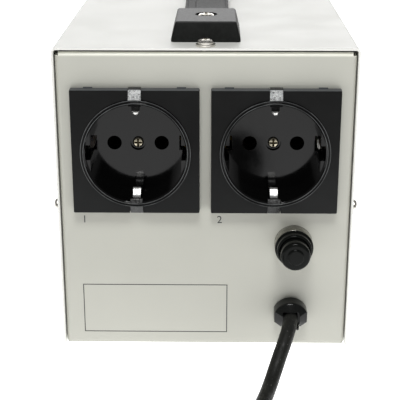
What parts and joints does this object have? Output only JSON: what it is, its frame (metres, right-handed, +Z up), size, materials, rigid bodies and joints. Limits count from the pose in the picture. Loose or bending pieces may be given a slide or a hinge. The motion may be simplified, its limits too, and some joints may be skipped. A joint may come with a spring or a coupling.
{
  "type": "voltage stabilizer",
  "caption": "Mains voltage stabilizer: folded sheet-steel case with strap handle, earthed outlets, reset breaker and supply lead behind, display and switches in front.",
  "frame": {"origin": "on the surface the feet stand on, under the middle of the case's bounding box, cord left out", "axes": "+Z up; -Y is the direction the mains outlets face; +Y is the direction the display panel faces; +X is to the right when looking at the outlets"},
  "size_m": [0.1283, 0.403, 0.1387],
  "materials": {
    "tray_paint": "fine powder coat",
    "cover_paint": "fine powder coat",
    "zinc": "zinc plated",
    "foot_rubber": "matte",
    "cap_plastic": "satin",
    "strap_vinyl": "satin vinyl",
    "outlet_plastic": "satin",
    "carrier_plastic": "matte",
    "nickel": "nickel plated",
    "contact_brass": "plain",
    "black_plastic": "satin",
    "button_plastic": "gloss",
    "cord_pvc": "satin",
    "tie_fabric": "woven hook and loop",
    "plug_pvc": "satin",
    "window_tint": "tinted clear",
    "module_plastic": "matte",
    "lamp_lens": "diffused lens",
    "board_laminate": "solder mask",
    "rocker_plastic": "gloss",
    "delay_plastic": "gloss",
    "core_iron": "varnished laminations",
    "winding_tape": "polyester tape",
    "bracket_steel": "zinc plated",
    "relay_plastic": "satin",
    "can_sleeve": "shrink sleeve",
    "terminal_plastic": "matte"
  },
  "bodies": {
    "case": {"chassis_floor": "tray_paint", "rear_panel": "tray_paint", "front_panel": "tray_paint", "top_cover": "cover_paint", "cover_screws": "zinc", "cover_washers": "zinc", "rubber_feet": "foot_rubber", "foot_screws": "zinc", "handle_cap_rear": "cap_plastic", "handle_cap_front": "cap_plastic", "handle_screws": "zinc", "hex_nuts": "zinc", "socket_plate_left": "outlet_plastic", "socket_plate_right": "outlet_plastic", "socket_cup_left": "outlet_plastic", "socket_cup_right": "outlet_plastic", "contact_carrier_left": "carrier_plastic", "contact_carrier_right": "carrier_plastic", "earth_strip_left": "nickel", "earth_strip_right": "nickel", "socket_screws": "zinc", "pin_contacts": "contact_brass", "breaker_body": "black_plastic", "breaker_ring": "black_plastic", "spade_tabs": "nickel", "strain_relief": "black_plastic", "mains_cord": "cord_pvc", "cord_coil": "cord_pvc", "cord_tail": "cord_pvc", "coil_tie": "tie_fabric", "plug_body": "plug_pvc", "plug_pins": "nickel", "plug_earth_clips": "nickel", "display_bezel": "black_plastic", "display_window": "window_tint", "display_module": "module_plastic", "indicator_lamps": "lamp_lens", "front_board": "board_laminate", "rocker_housing": "black_plastic", "delay_switch": "black_plastic", "delay_nut": "black_plastic", "transformer_core": "core_iron", "transformer_bobbin": "carrier_plastic", "transformer_winding": "winding_tape", "transformer_feet": "bracket_steel", "transformer_bolts": "zinc", "mounting_screws": "zinc", "relay_board": "board_laminate", "board_pillars": "contact_brass", "board_screws": "zinc", "relays": "relay_plastic", "capacitors": "can_sleeve", "terminal_block": "terminal_plastic"},
    "reset_button": {"breaker_button": "button_plastic"},
    "rocker": {"power_rocker": "rocker_plastic"},
    "delay_key": {"delay_button": "delay_plastic"},
    "strap": {"handle_strap": "strap_vinyl"}
  },
  "joints": [
    {"name": "breaker_press", "type": "slide", "parent": "case", "child": "reset_button", "axis": [0, 1, 0], "range_m": [0, 0.0025], "stiffness_N_per_m": 300},
    {"name": "power_rocker_tilt", "type": "hinge", "parent": "case", "child": "rocker", "pos_m": [-0.028, 0.09837, 0.03], "axis": [1, 0, 0], "range_deg": [0, 20]},
    {"name": "delay_press", "type": "slide", "parent": "case", "child": "delay_key", "axis": [0, -1, 0], "range_m": [0, 0.002], "stiffness_N_per_m": 300},
    {"name": "strap_lift", "type": "slide", "parent": "case", "child": "strap", "axis": [0, 0, 1], "range_m": [0, 0.012], "deforming": ["handle_strap"]}
  ]
}
